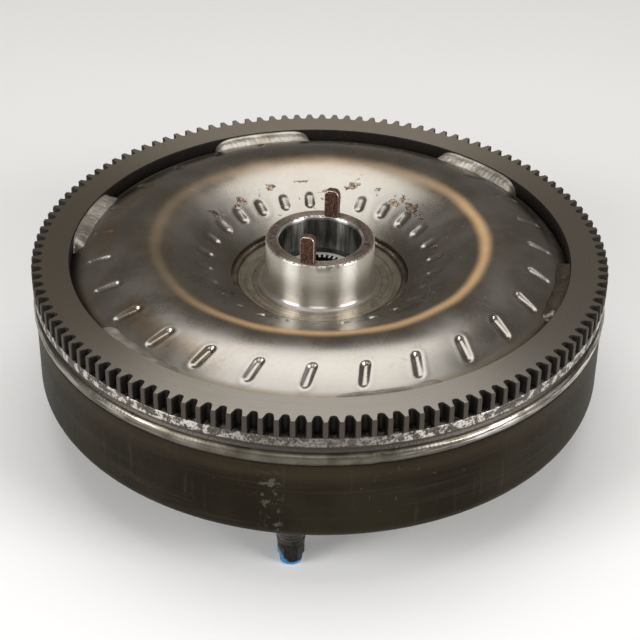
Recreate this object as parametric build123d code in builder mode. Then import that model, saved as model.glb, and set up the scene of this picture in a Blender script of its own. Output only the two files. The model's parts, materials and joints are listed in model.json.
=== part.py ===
"""A welded torque converter with a lock-up clutch, modelled piece by piece.

Millimetres. +Z points from the engine side to the gearbox side. The origin is on the
turning axis, in the plane of the three drive-lug end faces.
"""
from build123d import *
import math
import os

os.makedirs("parts", exist_ok=True)

# ---------------------------------------------------------------- driving dimensions
# Starter ring gear
gear_tip_radius = 161.3
gear_root_radius = 155.8
gear_flank_foot_radius = 157.6
gear_bore_radius = 140.3
gear_bottom = 94.9
gear_top = 105.3
gear_teeth = 125
tooth_tip_half_width = 1.4
tooth_foot_half_width = 2.5
tooth_end_chamfer = 0.6

# Front cover, a deep pressed pan open to +Z
cover_radius = 160.5
cover_wall = 5.0
cover_bottom = 27.2
cover_corner_radius = 9.2
cover_rim_low = 76.6
cover_rim_high = 80.9
dish_depth = 3.0
dish_outer_radius = 110.0
dish_inner_radius = 58.0
dish_ramp = 6.0

# Crank pilot on the engine side
pilot_radius = 24.0
pilot_end = 3.0
pilot_chamfer = 1.5
pilot_journal_end = 21.5
pilot_neck_radius = 23.6

# Drive lugs for the flexplate
lug_count = 3
lug_circle_radius = 141.9
lug_first_angle = -96.0
lug_shank_radius = 6.0
lug_collar_radius = 7.25
lug_collar_low = 11.2
lug_collar_high = 14.0
lug_hex_flats = 12.3
lug_hex_low = 4.2
lug_nose_radius = 6.05
lug_nose_low = 1.5
lug_hole_radius = 3.4
lug_hole_top = 20.0
lug_base_radius = 12.4
locking_ring_radius = 5.9
locking_ring_hole_radius = 3.9

# Impeller: shell, vanes, core ring
shell_wall = 4.5
shell_seat_radius = 160.9
spigot_outer_radius = 155.45
spigot_inner_radius = 150.9
spigot_bottom = 70.0
impeller_vanes = 27
impeller_vane_thickness = 1.2
vane_gap = 0.4
impeller_split_height = 79.4
dimple_count = 27

# Turbine
turbine_wall = 2.2
turbine_vanes = 31
turbine_vane_thickness = 0.9
turbine_split_height = 76.6
core_wall = 1.2

# Pump hub and its two drive tangs
hub_radius = 30.7
hub_bore_radius = 23.45
hub_relief_radius = 24.2
hub_top = 112.2
hub_flange_bottom = 79.5
hub_fillet_radius = 3.0
tang_width = 8.4
tang_height = 16.6
tang_outer_radius = 30.3
tang_inner_radius = 23.9
tang_angle = 74.5
tang_chamfer = 1.0

# Stator and its one-way clutch
stator_vanes = 19
clutch_rollers_count = 10
clutch_roller_radius = 3.5
clutch_roller_circle = 29.1
clutch_low = 62.55
clutch_high = 74.2
inner_race_radius = 25.5
inner_race_sleeve_radius = 22.4
inner_race_top = 89.2
stator_spline_teeth = 38
stator_spline_minor = 16.1
stator_spline_major = 18.95

# Turbine hub spline
turbine_spline_teeth = 26
turbine_spline_minor = 12.0
turbine_spline_major = 13.6

# Torsional damper
damper_spring_count = 6
damper_spring_chord_radius = 136.2
damper_spring_height = 47.6
damper_spring_half_length = 22.0
damper_coil_radius = 4.7
damper_wire_radius = 1.1
damper_coil_pitch = 5.2


# ---------------------------------------------------------------- shared shapes
def turned(outline):
    """A solid of revolution about Z from a closed outline of (radius, height) corners."""
    with BuildPart() as ring:
        with BuildSketch(Plane.XZ):
            with BuildLine():
                Polyline(*outline, close=True)
            make_face()
        revolve(axis=Axis.Z)
    return ring


def flat_ring(inner_radius, outer_radius, low, high):
    """A plain ring of rectangular section."""
    return turned([
        (inner_radius, low),
        (outer_radius, low),
        (outer_radius, high),
        (inner_radius, high),
    ])


def shifted(points, distance):
    """The points of a curve moved sideways to its right by a distance."""
    moved = []
    last = len(points) - 1
    for index, (radius, height) in enumerate(points):
        before = points[max(index - 1, 0)]
        after = points[min(index + 1, last)]
        run = after[0] - before[0]
        rise = after[1] - before[1]
        length = math.hypot(run, rise)
        moved.append((radius + distance * rise / length, height - distance * run / length))
    return moved


def polar(radius, degrees_around):
    """A point in the XY plane at a radius and an angle from +X."""
    angle = math.radians(degrees_around)
    return (radius * math.cos(angle), radius * math.sin(angle))


def vane_plan(inner_radius, outer_radius, inner_lead, outer_lead, bow, thickness):
    """The thin curved strip one vane covers when seen along the axis."""
    middle_radius = (inner_radius + outer_radius) / 2
    middle_lead = (inner_lead + outer_lead) / 2 + bow
    edges = []
    for side in (-1, 1):
        offsets = []
        for radius, lead in (
            (inner_radius, inner_lead),
            (middle_radius, middle_lead),
            (outer_radius, outer_lead),
        ):
            half_angle = math.degrees(thickness / 2 / radius)
            offsets.append(polar(radius, lead + side * half_angle))
        edges.append(offsets)
    low, high = edges
    with BuildSketch() as strip:
        with BuildLine():
            ThreePointArc(*low)
            Line(low[2], high[2])
            ThreePointArc(high[2], high[1], high[0])
            Line(high[0], low[0])
        make_face()
    return strip.sketch


def scoop(middle, direction, normal, length, width, depth):
    """A round-ended cutter that leaves a dimple of the given length, width and depth."""
    ball_radius = width ** 2 / (8 * depth) + depth / 2
    lift = ball_radius - depth
    half_axis = (length - width) / 2
    centre = Vector(*middle) + Vector(*normal).normalized() * lift
    reach = half_axis + ball_radius
    diagonal = ball_radius * math.sqrt(0.5)
    long_way = Vector(*direction).normalized()
    sideways = long_way.cross(Vector(*normal))
    axis_line = Axis(origin=centre, direction=long_way)
    with BuildPart() as cutter:
        with BuildSketch(Plane(origin=centre, x_dir=long_way, z_dir=sideways)):
            with BuildLine():
                Line((-reach, 0), (reach, 0))
                ThreePointArc(
                    (reach, 0),
                    (half_axis + diagonal, diagonal),
                    (half_axis, ball_radius),
                )
                Line((half_axis, ball_radius), (-half_axis, ball_radius))
                ThreePointArc(
                    (-half_axis, ball_radius),
                    (-half_axis - diagonal, diagonal),
                    (-reach, 0),
                )
            make_face()
        revolve(axis=axis_line)
    return cutter.part


def thrust_cage(inner_radius, outer_radius, low, high, count, window_length, window_width):
    """A flat bearing cage with one radial window per roller."""
    middle_radius = (inner_radius + outer_radius) / 2
    with BuildPart() as cage:
        with BuildSketch(Plane.XY.offset(low)):
            Circle(outer_radius)
            Circle(inner_radius, mode=Mode.SUBTRACT)
            with PolarLocations(middle_radius, count):
                Rectangle(window_length, window_width, mode=Mode.SUBTRACT)
        extrude(amount=high - low)
    return cage


def thrust_rollers(middle_radius, height, count, roller_length, roller_radius):
    """Radial rollers standing in a flat circle, as separate solids."""
    with BuildPart() as rollers:
        with PolarLocations(middle_radius, count):
            with Locations((0, 0, height)):
                Cylinder(roller_radius, roller_length, rotation=(0, 90, 0))
    return rollers


# ---------------------------------------------------------------- front cover
cover_flat_radius = cover_radius - cover_corner_radius
cover_floor = cover_bottom + cover_wall
inner_corner_radius = cover_corner_radius - cover_wall + 0.8
inner_wall_radius = cover_radius - cover_wall
outer_arc_middle = (
    cover_flat_radius + cover_corner_radius * math.sqrt(0.5),
    cover_bottom + cover_corner_radius * (1 - math.sqrt(0.5)),
)
inner_arc_middle = (
    inner_wall_radius - inner_corner_radius * (1 - math.sqrt(0.5)),
    cover_floor + inner_corner_radius * (1 - math.sqrt(0.5)),
)
with BuildPart() as front_cover:
    with BuildSketch(Plane.XZ):
        with BuildLine():
            Polyline(
                (0, cover_floor),
                (0, cover_bottom),
                (dish_inner_radius, cover_bottom),
                (dish_inner_radius + dish_ramp, cover_bottom + dish_depth),
                (dish_outer_radius - dish_ramp, cover_bottom + dish_depth),
                (dish_outer_radius, cover_bottom),
                (cover_flat_radius, cover_bottom),
            )
            ThreePointArc(
                (cover_flat_radius, cover_bottom),
                outer_arc_middle,
                (cover_radius, cover_bottom + cover_corner_radius),
            )
            Polyline(
                (cover_radius, cover_bottom + cover_corner_radius),
                (cover_radius, cover_rim_low),
                (inner_wall_radius, cover_rim_high),
                (inner_wall_radius, cover_floor + inner_corner_radius),
            )
            ThreePointArc(
                (inner_wall_radius, cover_floor + inner_corner_radius),
                inner_arc_middle,
                (inner_wall_radius - inner_corner_radius, cover_floor),
            )
            Polyline(
                (inner_wall_radius - inner_corner_radius, cover_floor),
                (dish_outer_radius + 0.6, cover_floor),
                (dish_outer_radius - dish_ramp + 0.6, cover_floor + dish_depth),
                (dish_inner_radius + dish_ramp - 2, cover_floor + dish_depth),
                (dish_inner_radius - 2, cover_floor),
                (0, cover_floor),
            )
        make_face()
    revolve(axis=Axis.Z)
front_cover.part.label = "front_cover"
export_step(front_cover.part, "parts/front_cover.step")

# ---------------------------------------------------------------- crank pilot
with BuildPart() as crank_pilot:
    with BuildSketch(Plane.XY.offset(pilot_end)):
        Circle(pilot_radius)
    extrude(amount=pilot_journal_end - pilot_end)
    with BuildSketch(Plane.XY.offset(pilot_journal_end)):
        Circle(pilot_neck_radius)
    extrude(amount=cover_bottom - pilot_journal_end)
    chamfer(crank_pilot.faces().sort_by(Axis.Z)[0].edges(), length=pilot_chamfer)
    with Locations(Plane(origin=(0, 0, pilot_end), z_dir=(0, 0, -1))):
        CounterSinkHole(radius=2.0, counter_sink_radius=5.0, depth=6.0)
crank_pilot.part.label = "crank_pilot"
export_step(crank_pilot.part, "parts/crank_pilot.step")

pilot_weld_size = 5.0
crank_pilot_weld = turned([
    (pilot_neck_radius + 0.05, cover_bottom),
    (pilot_neck_radius + pilot_weld_size, cover_bottom),
    (pilot_neck_radius + 0.4 * pilot_weld_size, cover_bottom - 0.6 * pilot_weld_size),
    (pilot_neck_radius + 0.05, cover_bottom - pilot_weld_size),
])
crank_pilot_weld.part.label = "crank_pilot_weld"
export_step(crank_pilot_weld.part, "parts/crank_pilot_weld.step")

# ---------------------------------------------------------------- drive lugs
lug_positions = [
    polar(lug_circle_radius, lug_first_angle + 360 / lug_count * index)
    for index in range(lug_count)
]
with BuildPart() as one_lug:
    with BuildSketch(Plane.XY.offset(lug_nose_low)):
        Circle(lug_nose_radius)
    extrude(amount=lug_hex_low - lug_nose_low)
    with BuildSketch(Plane.XY.offset(lug_hex_low)):
        RegularPolygon(radius=lug_hex_flats / 2, side_count=6, major_radius=False)
    extrude(amount=lug_collar_low - lug_hex_low)
    with BuildSketch(Plane.XY.offset(lug_collar_low)):
        Circle(lug_collar_radius)
    extrude(amount=lug_collar_high - lug_collar_low)
    with BuildSketch(Plane.XY.offset(lug_collar_high)):
        Circle(lug_shank_radius)
    extrude(amount=cover_bottom - lug_collar_high)
    with BuildSketch(Plane.XY.offset(lug_nose_low)):
        Circle(lug_hole_radius)
    extrude(amount=lug_hole_top - lug_nose_low, mode=Mode.SUBTRACT)

with BuildPart() as drive_lugs:
    with Locations(*[(x, y, 0) for x, y in lug_positions]):
        add(one_lug.part)
drive_lugs.part.label = "drive_lugs"
export_step(drive_lugs.part, "parts/drive_lugs.step")

one_lug_base = turned([
    (lug_shank_radius + 0.02, lug_collar_high),
    (lug_collar_radius + 0.5, lug_collar_high),
    (0.76 * lug_base_radius, lug_collar_high + 8.5),
    (lug_base_radius, cover_bottom),
    (lug_shank_radius + 0.02, cover_bottom),
])
with BuildPart() as lug_weld_bases:
    with Locations(*[(x, y, 0) for x, y in lug_positions]):
        add(one_lug_base.part)
lug_weld_bases.part.label = "lug_weld_bases"
export_step(lug_weld_bases.part, "parts/lug_weld_bases.step")

with BuildPart() as lug_locking_rings:
    with BuildSketch(Plane.XY):
        with Locations(*lug_positions):
            Circle(locking_ring_radius)
            Circle(locking_ring_hole_radius, mode=Mode.SUBTRACT)
    extrude(amount=lug_nose_low)
lug_locking_rings.part.label = "lug_locking_rings"
export_step(lug_locking_rings.part, "parts/lug_locking_rings.step")

# ---------------------------------------------------------------- impeller shell
shell_crown = [
    (50.3, 89.5),
    (66.2, 99.0),
    (80.0, 106.4),
    (94.5, 111.4),
    (116.7, 108.7),
    (129.7, 103.1),
    (140.0, 97.7),
]
shell_lining = shifted(shell_crown[1:-1], shell_wall)
inner_surface = (
    [(50.4, 84.5)]
    + shell_lining
    + [(138.5, 92.6), (148.2, 88.6), (spigot_inner_radius, 84.0)]
)
outer_dimple_cutter = scoop(
    middle=(*polar(123.2, 0.4), 106.1),
    direction=(13.0, -3.9, -5.6),
    normal=(0.396, 0.0, 0.918),
    length=15.6,
    width=6.0,
    depth=1.4,
)
inner_dimple_cutter = scoop(
    middle=(65.2, 0, 98.4),
    direction=(13.0, 0.0, 6.9),
    normal=(-0.469, 0.0, 0.883),
    length=9.5,
    width=5.0,
    depth=1.2,
)
inner_dimple_first_angle = 161.7
with BuildPart() as impeller_shell:
    with BuildSketch(Plane.XZ):
        with BuildLine():
            Spline(*shell_crown)
            Polyline(
                shell_crown[-1],
                (gear_bore_radius - 0.05, gear_bottom + 2.2),
                (gear_bore_radius - 0.05, gear_bottom),
                (shell_seat_radius, gear_bottom),
                (shell_seat_radius, 89.5),
            )
            ThreePointArc((shell_seat_radius, 89.5), (158.9, 87.2), (160.4, 85.2))
            Polyline(
                (160.4, 85.2),
                (spigot_outer_radius, 81.0),
                (spigot_outer_radius, spigot_bottom),
                (spigot_inner_radius, spigot_bottom),
                (spigot_inner_radius, 84.0),
            )
            Spline(*inner_surface[::-1])
            Line(inner_surface[0], shell_crown[0])
        make_face()
    revolve(axis=Axis.Z)
    with PolarLocations(0, dimple_count):
        add(outer_dimple_cutter, mode=Mode.SUBTRACT)
    with PolarLocations(0, dimple_count, start_angle=inner_dimple_first_angle):
        add(inner_dimple_cutter, mode=Mode.SUBTRACT)
impeller_shell.part.label = "impeller_shell"
export_step(impeller_shell.part, "parts/impeller_shell.step")

# ---------------------------------------------------------------- closure weld
with BuildPart() as closure_weld:
    with BuildSketch(Plane.XZ):
        with BuildLine():
            Line((160.35, 85.0), (155.6, 80.95))
            Line((155.6, 80.95), (160.5, 76.75))
            ThreePointArc((160.5, 76.75), (161.2, 80.9), (160.35, 85.0))
        make_face()
    revolve(axis=Axis.Z)
closure_weld.part.label = "closure_weld"
export_step(closure_weld.part, "parts/closure_weld.step")

# ---------------------------------------------------------------- starter ring gear
tooth_pitch_angle = 360 / gear_teeth
tip_half_angle = math.degrees(tooth_tip_half_width / gear_tip_radius)
foot_half_angle = math.degrees(tooth_foot_half_width / gear_flank_foot_radius)
with BuildPart() as ring_gear:
    with BuildSketch(Plane.XY.offset(gear_bottom)):
        with BuildLine():
            for tooth in range(gear_teeth):
                centre = tooth * tooth_pitch_angle
                next_foot = centre + tooth_pitch_angle - foot_half_angle
                Polyline(
                    polar(gear_flank_foot_radius, centre - foot_half_angle),
                    polar(gear_tip_radius, centre - tip_half_angle),
                    polar(gear_tip_radius, centre + tip_half_angle),
                    polar(gear_flank_foot_radius, centre + foot_half_angle),
                )
                ThreePointArc(
                    polar(gear_flank_foot_radius, centre + foot_half_angle),
                    polar(gear_root_radius, centre + tooth_pitch_angle / 2),
                    polar(gear_flank_foot_radius, next_foot),
                )
        make_face()
        Circle(gear_bore_radius, mode=Mode.SUBTRACT)
    extrude(amount=gear_top - gear_bottom)
    with BuildSketch(Plane.XZ):
        with BuildLine():
            Polyline(
                (gear_bore_radius - 1, gear_bottom),
                (gear_tip_radius - tooth_end_chamfer, gear_bottom),
                (gear_tip_radius + 0.1, gear_bottom + tooth_end_chamfer + 0.1),
                (gear_tip_radius + 0.1, gear_top - tooth_end_chamfer - 0.1),
                (gear_tip_radius - tooth_end_chamfer, gear_top),
                (gear_bore_radius - 1, gear_top),
                close=True,
            )
        make_face()
    revolve(axis=Axis.Z, mode=Mode.INTERSECT)
ring_gear.part.label = "ring_gear"
export_step(ring_gear.part, "parts/ring_gear.step")

# ---------------------------------------------------------------- ring gear weld beads
gear_weld_count = 6
gear_weld_arc = 24.0
gear_weld_first_angle = -75.0
gear_weld_plane = Plane.XZ.rotated((0, 0, -gear_weld_arc / 2))
with BuildPart() as one_gear_weld:
    with BuildSketch(gear_weld_plane):
        with BuildLine():
            Line((140.2, 103.4), (140.2, 97.9))
            Line((140.2, 97.9), (133.6, 101.35))
            ThreePointArc((133.6, 101.35), (137.6, 103.2), (140.2, 103.4))
        make_face()
    revolve(axis=Axis.Z, revolution_arc=gear_weld_arc)
weld_middle_angle = math.degrees(
    math.atan2(one_gear_weld.part.center().Y, one_gear_weld.part.center().X)
)
with BuildPart() as ring_gear_welds:
    with PolarLocations(0, gear_weld_count, start_angle=gear_weld_first_angle - weld_middle_angle):
        add(one_gear_weld.part)
ring_gear_welds.part.label = "ring_gear_welds"
export_step(ring_gear_welds.part, "parts/ring_gear_welds.step")

# ---------------------------------------------------------------- impeller vanes and core
impeller_core_outer = ((89.0, 79.3), (110.0, 88.5), (131.5, 79.3))
impeller_core_inner = ((90.4, 79.3), (110.0, 88.5 - core_wall), (130.1, 79.3))
with BuildPart() as impeller_core_ring:
    with BuildSketch(Plane.XZ):
        with BuildLine():
            ThreePointArc(*impeller_core_outer)
            Line(impeller_core_outer[2], impeller_core_inner[2])
            ThreePointArc(*impeller_core_inner[::-1])
            Line(impeller_core_inner[0], impeller_core_outer[0])
        make_face()
    revolve(axis=Axis.Z)
impeller_core_ring.part.label = "impeller_core_ring"
export_step(impeller_core_ring.part, "parts/impeller_core_ring.step")

impeller_vane_edge = shifted(inner_surface[1:-1], vane_gap)
impeller_vane_inlet_height = 85.6
impeller_vane_outlet_radius = 147.6
stator_clear_radius = 89.2
impeller_vane_plan = vane_plan(58.0, 151.0, 3.0, -3.0, 2.0, impeller_vane_thickness)
with BuildPart() as impeller_blades:
    with BuildSketch(Plane.XZ):
        with BuildLine():
            Spline(*impeller_vane_edge)
            Polyline(
                impeller_vane_edge[-1],
                (impeller_vane_outlet_radius, impeller_split_height),
                (impeller_vane_edge[0][0], impeller_split_height),
                impeller_vane_edge[0],
            )
        make_face()
        with BuildLine():
            ThreePointArc((88.8, 79.3), (110.0, 88.5 + vane_gap), (131.7, 79.3))
            Line((131.7, 79.3), (88.8, 79.3))
        make_face(mode=Mode.SUBTRACT)
        with Locations((stator_clear_radius / 2, impeller_vane_inlet_height - 10)):
            Rectangle(stator_clear_radius, 20, mode=Mode.SUBTRACT)
    revolve(axis=Axis.Z)
    with BuildSketch(Plane.XY.offset(impeller_split_height - 1)):
        with PolarLocations(0, impeller_vanes):
            add(impeller_vane_plan)
    extrude(amount=40, mode=Mode.INTERSECT)
impeller_blades.part.label = "impeller_blades"
export_step(impeller_blades.part, "parts/impeller_blades.step")

# ---------------------------------------------------------------- pump hub
with BuildPart() as pump_hub:
    with BuildSketch(Plane.XZ):
        with BuildLine():
            Polyline(
                (hub_radius + hub_fillet_radius, 84.0),
                (49.6, 86.4),
                (49.6, 82.0),
                (44.0, hub_flange_bottom),
                (hub_relief_radius, hub_flange_bottom),
                (hub_relief_radius, 90.0),
                (hub_bore_radius, 90.6),
                (hub_bore_radius, hub_top - 0.9),
                (hub_bore_radius + 0.9, hub_top),
                (hub_radius - 0.7, hub_top),
                (hub_radius, hub_top - 0.7),
                (hub_radius, 84.0 + hub_fillet_radius),
            )
            ThreePointArc(
                (hub_radius, 84.0 + hub_fillet_radius),
                (
                    hub_radius + hub_fillet_radius * (1 - math.sqrt(0.5)),
                    84.0 + hub_fillet_radius * (1 - math.sqrt(0.5)),
                ),
                (hub_radius + hub_fillet_radius, 84.0),
            )
        make_face()
    revolve(axis=Axis.Z)
    with BuildSketch(Plane.XY.offset(hub_top - 1.5)):
        Circle(tang_outer_radius)
        Circle(tang_inner_radius, mode=Mode.SUBTRACT)
        Rectangle(3 * hub_radius, tang_width, rotation=tang_angle, mode=Mode.INTERSECT)
    extrude(amount=tang_height + 1.5)
    tang_ends = pump_hub.faces().group_by(Axis.Z)[-1]
    chamfer(tang_ends.edges(), length=tang_chamfer)
pump_hub.part.label = "pump_hub"
export_step(pump_hub.part, "parts/pump_hub.step")

with BuildPart() as hub_weld:
    with BuildSketch(Plane.XZ):
        with BuildLine():
            Polyline((46.4, 85.97), (49.65, 86.5), (50.25, 86.5), (50.25, 87.8))
            ThreePointArc((50.25, 87.8), (48.5, 88.1), (46.4, 85.97))
        make_face()
    revolve(axis=Axis.Z)
hub_weld.part.label = "hub_weld"
export_step(hub_weld.part, "parts/hub_weld.step")

# ---------------------------------------------------------------- turbine shell and vanes
turbine_outside = [
    (149.3, 76.6),
    (148.3, 68.5),
    (143.0, 59.3),
    (130.0, 52.2),
    (108.0, 49.4),
    (86.0, 50.0),
    (66.0, 52.7),
    (52.0, 54.8),
]
turbine_inside = [
    (147.1, 76.6),
    (146.1, 69.1),
    (141.4, 60.9),
    (129.2, 54.3),
    (108.0, 49.4 + turbine_wall),
    (86.1, 50.0 + turbine_wall),
    (66.3, 52.7 + turbine_wall),
    (52.0, 54.8 + turbine_wall),
]
turbine_flange_radius = 32.0
rivet_count = 8
rivet_circle_radius = 38.0
rivet_radius = 2.5
rivet_head_radius = 4.2
rivet_head_height = 1.3
with BuildPart() as turbine_shell:
    with BuildSketch(Plane.XZ):
        with BuildLine():
            Spline(*turbine_outside)
            Polyline(
                turbine_outside[-1],
                (turbine_flange_radius, turbine_outside[-1][1]),
                (turbine_flange_radius, turbine_inside[-1][1]),
                turbine_inside[-1],
            )
            Spline(*turbine_inside[::-1])
            Line(turbine_inside[0], turbine_outside[0])
        make_face()
    revolve(axis=Axis.Z)
    with BuildSketch(Plane.XY.offset(50)):
        with PolarLocations(rivet_circle_radius, rivet_count):
            Circle(rivet_radius)
    extrude(amount=10, mode=Mode.SUBTRACT)
turbine_shell.part.label = "turbine_shell"
export_step(turbine_shell.part, "parts/turbine_shell.step")

turbine_core_outer = ((89.0, 76.7), (110.0, 67.5), (131.5, 76.7))
turbine_core_inner = ((90.4, 76.7), (110.0, 67.5 + core_wall), (130.1, 76.7))
with BuildPart() as turbine_core_ring:
    with BuildSketch(Plane.XZ):
        with BuildLine():
            ThreePointArc(*turbine_core_outer)
            Line(turbine_core_outer[2], turbine_core_inner[2])
            ThreePointArc(*turbine_core_inner[::-1])
            Line(turbine_core_inner[0], turbine_core_outer[0])
        make_face()
    revolve(axis=Axis.Z)
turbine_core_ring.part.label = "turbine_core_ring"
export_step(turbine_core_ring.part, "parts/turbine_core_ring.step")

turbine_vane_edge = shifted(turbine_inside[:-1], vane_gap)
turbine_exit_height = 65.0
turbine_vane_plan = vane_plan(66.4, 150.0, -9.0, 9.0, -5.0, turbine_vane_thickness)
with BuildPart() as turbine_blades:
    with BuildSketch(Plane.XZ):
        with BuildLine():
            Spline(*turbine_vane_edge)
            Polyline(
                turbine_vane_edge[-1],
                (turbine_vane_edge[-1][0], turbine_split_height),
                turbine_vane_edge[0],
            )
        make_face()
        with BuildLine():
            ThreePointArc((88.8, 76.7), (110.0, 67.5 - vane_gap), (131.7, 76.7))
            Line((131.7, 76.7), (88.8, 76.7))
        make_face(mode=Mode.SUBTRACT)
        with Locations((stator_clear_radius / 2, turbine_exit_height + 10)):
            Rectangle(stator_clear_radius, 20, mode=Mode.SUBTRACT)
    revolve(axis=Axis.Z)
    with BuildSketch(Plane.XY.offset(45)):
        with PolarLocations(0, turbine_vanes):
            add(turbine_vane_plan)
    extrude(amount=40, mode=Mode.INTERSECT)
turbine_blades.part.label = "turbine_blades"
export_step(turbine_blades.part, "parts/turbine_blades.step")

# ---------------------------------------------------------------- turbine hub and rivets
hub_journal_radius = 25.95
turbine_hub_blank = turned([
    (turbine_spline_minor, 34.25),
    (hub_journal_radius, 34.25),
    (hub_journal_radius, 40.0),
    (23.6, 40.0),
    (23.6, 42.5),
    (hub_journal_radius, 42.5),
    (hub_journal_radius, 48.5),
    (30.0, 50.3),
    (44.0, 50.3),
    (44.0, 54.8),
    (31.6, 54.8),
    (31.6, 57.0),
    (turbine_spline_minor, 57.0),
])
spline_groove_share = 0.5
turbine_groove_width = 2 * math.pi * turbine_spline_minor / turbine_spline_teeth * spline_groove_share
with BuildPart() as turbine_hub:
    add(turbine_hub_blank.part)
    with BuildSketch(Plane.XY.offset(30)):
        with PolarLocations(turbine_spline_major - 1.5, turbine_spline_teeth):
            Rectangle(3.0, turbine_groove_width)
    extrude(amount=30, mode=Mode.SUBTRACT)
    with BuildSketch(Plane.XY.offset(50)):
        with PolarLocations(rivet_circle_radius, rivet_count):
            Circle(rivet_radius)
    extrude(amount=10, mode=Mode.SUBTRACT)
turbine_hub.part.label = "turbine_hub"
export_step(turbine_hub.part, "parts/turbine_hub.step")

with BuildPart() as turbine_rivets:
    for radius, low, high in (
        (rivet_head_radius, 50.3 - rivet_head_height, 50.3),
        (rivet_radius, 50.3, 57.0),
        (rivet_head_radius, 57.0, 57.0 + rivet_head_height),
    ):
        with BuildSketch(Plane.XY.offset(low)):
            with PolarLocations(rivet_circle_radius, rivet_count):
                Circle(radius)
        extrude(amount=high - low)
turbine_rivets.part.label = "turbine_rivets"
export_step(turbine_rivets.part, "parts/turbine_rivets.step")

piston_seal_ring = flat_ring(23.7, 26.0, 40.1, 42.4)
piston_seal_ring.part.label = "piston_seal_ring"
export_step(piston_seal_ring.part, "parts/piston_seal_ring.step")

front_thrust_washer = flat_ring(15.0, 30.0, cover_floor, 34.2)
front_thrust_washer.part.label = "front_thrust_washer"
export_step(front_thrust_washer.part, "parts/front_thrust_washer.step")

# ---------------------------------------------------------------- torsional damper
driven_low = 46.9
driven_high = 48.9
finger_gap = 0.1
finger_width = 2.0
with BuildPart() as driven_plate:
    with BuildSketch(Plane.XY.offset(driven_low)):
        Circle(128.0)
        Circle(104.0, mode=Mode.SUBTRACT)
        with PolarLocations(0, damper_spring_count):
            for side in (-1, 1):
                finger_place = side * (damper_spring_half_length + finger_gap + finger_width / 2)
                with Locations((133.0, finger_place)):
                    Rectangle(16.0, finger_width)
    extrude(amount=driven_high - driven_low)
driven_plate.part.label = "driven_plate"
export_step(driven_plate.part, "parts/driven_plate.step")

retainer_floor = 40.2
retainer_sheet = 1.5
drive_window_radius = 119.5
drive_window_count = 6
with BuildPart() as spring_retainer:
    with BuildSketch(Plane.XY.offset(retainer_floor)):
        Circle(146.8)
        Circle(113.0, mode=Mode.SUBTRACT)
        with PolarLocations(drive_window_radius, drive_window_count):
            Rectangle(4.6, 10.6, mode=Mode.SUBTRACT)
    extrude(amount=retainer_sheet)
    with BuildSketch(Plane.XY.offset(retainer_floor)):
        Circle(146.8)
        Circle(145.3, mode=Mode.SUBTRACT)
    extrude(amount=11.8)
    with PolarLocations(0, damper_spring_count):
        for side in (-1, 1):
            pad_place = side * (damper_spring_half_length + finger_gap + 1.5)
            with Locations((damper_spring_chord_radius, pad_place, 43.6)):
                Box(9.0, 3.0, 4.4)
spring_retainer.part.label = "spring_retainer"
export_step(spring_retainer.part, "parts/spring_retainer.step")

coil_half_length = damper_spring_half_length - damper_wire_radius
with BuildPart() as one_damper_spring:
    with BuildLine() as coil:
        Helix(
            pitch=damper_coil_pitch,
            height=2 * coil_half_length,
            radius=damper_coil_radius,
            center=(damper_spring_chord_radius, -coil_half_length, damper_spring_height),
            direction=(0, 1, 0),
        )
    with BuildSketch(Plane(origin=coil.line @ 0, z_dir=coil.line % 0)):
        Circle(damper_wire_radius)
    sweep(path=coil.line, is_frenet=True)
with BuildPart() as damper_springs:
    with PolarLocations(0, damper_spring_count):
        add(one_damper_spring.part)
damper_springs.part.label = "damper_springs"
export_step(damper_springs.part, "parts/damper_springs.step")

# ---------------------------------------------------------------- lock-up piston
piston_bore_radius = 26.05
lockup_piston_blank = turned([
    (piston_bore_radius, 36.2),
    (29.8, 36.2),
    (29.8, 37.2),
    (104.0, 37.2),
    (112.0, 34.7),
    (151.5, 34.7),
    (151.5, 38.2),
    (113.0, 38.2),
    (105.0, 40.7),
    (29.8, 40.7),
    (29.8, 46.5),
    (piston_bore_radius, 46.5),
])
with BuildPart() as lockup_piston:
    add(lockup_piston_blank.part)
    with PolarLocations(drive_window_radius, drive_window_count):
        with Locations((0, 0, 40.7)):
            Box(4.0, 10.0, 5.4)
lockup_piston.part.label = "lockup_piston"
export_step(lockup_piston.part, "parts/lockup_piston.step")

friction_lining = flat_ring(118.0, 149.0, 32.85, 34.7)
friction_lining.part.label = "friction_lining"
export_step(friction_lining.part, "parts/friction_lining.step")

# ---------------------------------------------------------------- stator wheel
with BuildPart() as stator_vane:
    with BuildSketch(Plane(origin=(53.0, 0, 75.2), x_dir=(0, 1, 0), z_dir=(1, 0, 0))):
        with BuildLine():
            ThreePointArc((-4.5, -7.9), (-4.2, 1.0), (4.5, 7.9))
            ThreePointArc((4.5, 7.9), (-0.9, 0.2), (-4.5, -7.9))
        make_face()
    extrude(amount=33.0)

with BuildPart() as stator_wheel:
    with BuildSketch(Plane.XZ):
        with BuildLine():
            Polyline(
                (40.05, 60.0),
                (54.0, 60.0),
                (54.0, 83.2),
                (50.9, 83.2),
                (50.9, 75.2),
                (40.05, 75.2),
                (40.05, 61.45),
                (41.4, 61.45),
                (41.4, 60.35),
                (40.05, 60.35),
                close=True,
            )
        make_face()
        with BuildLine():
            Polyline((84.8, 67.0), (87.8, 67.0), (87.8, 83.8), (84.8, 83.8), close=True)
        make_face()
    revolve(axis=Axis.Z)
    with PolarLocations(0, stator_vanes):
        add(stator_vane.part)
stator_wheel.part.label = "stator_wheel"
export_step(stator_wheel.part, "parts/stator_wheel.step")

stator_snap_ring = flat_ring(37.5, 41.3, 60.42, 61.38)
stator_snap_ring.part.label = "stator_snap_ring"
export_step(stator_snap_ring.part, "parts/stator_snap_ring.step")

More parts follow.
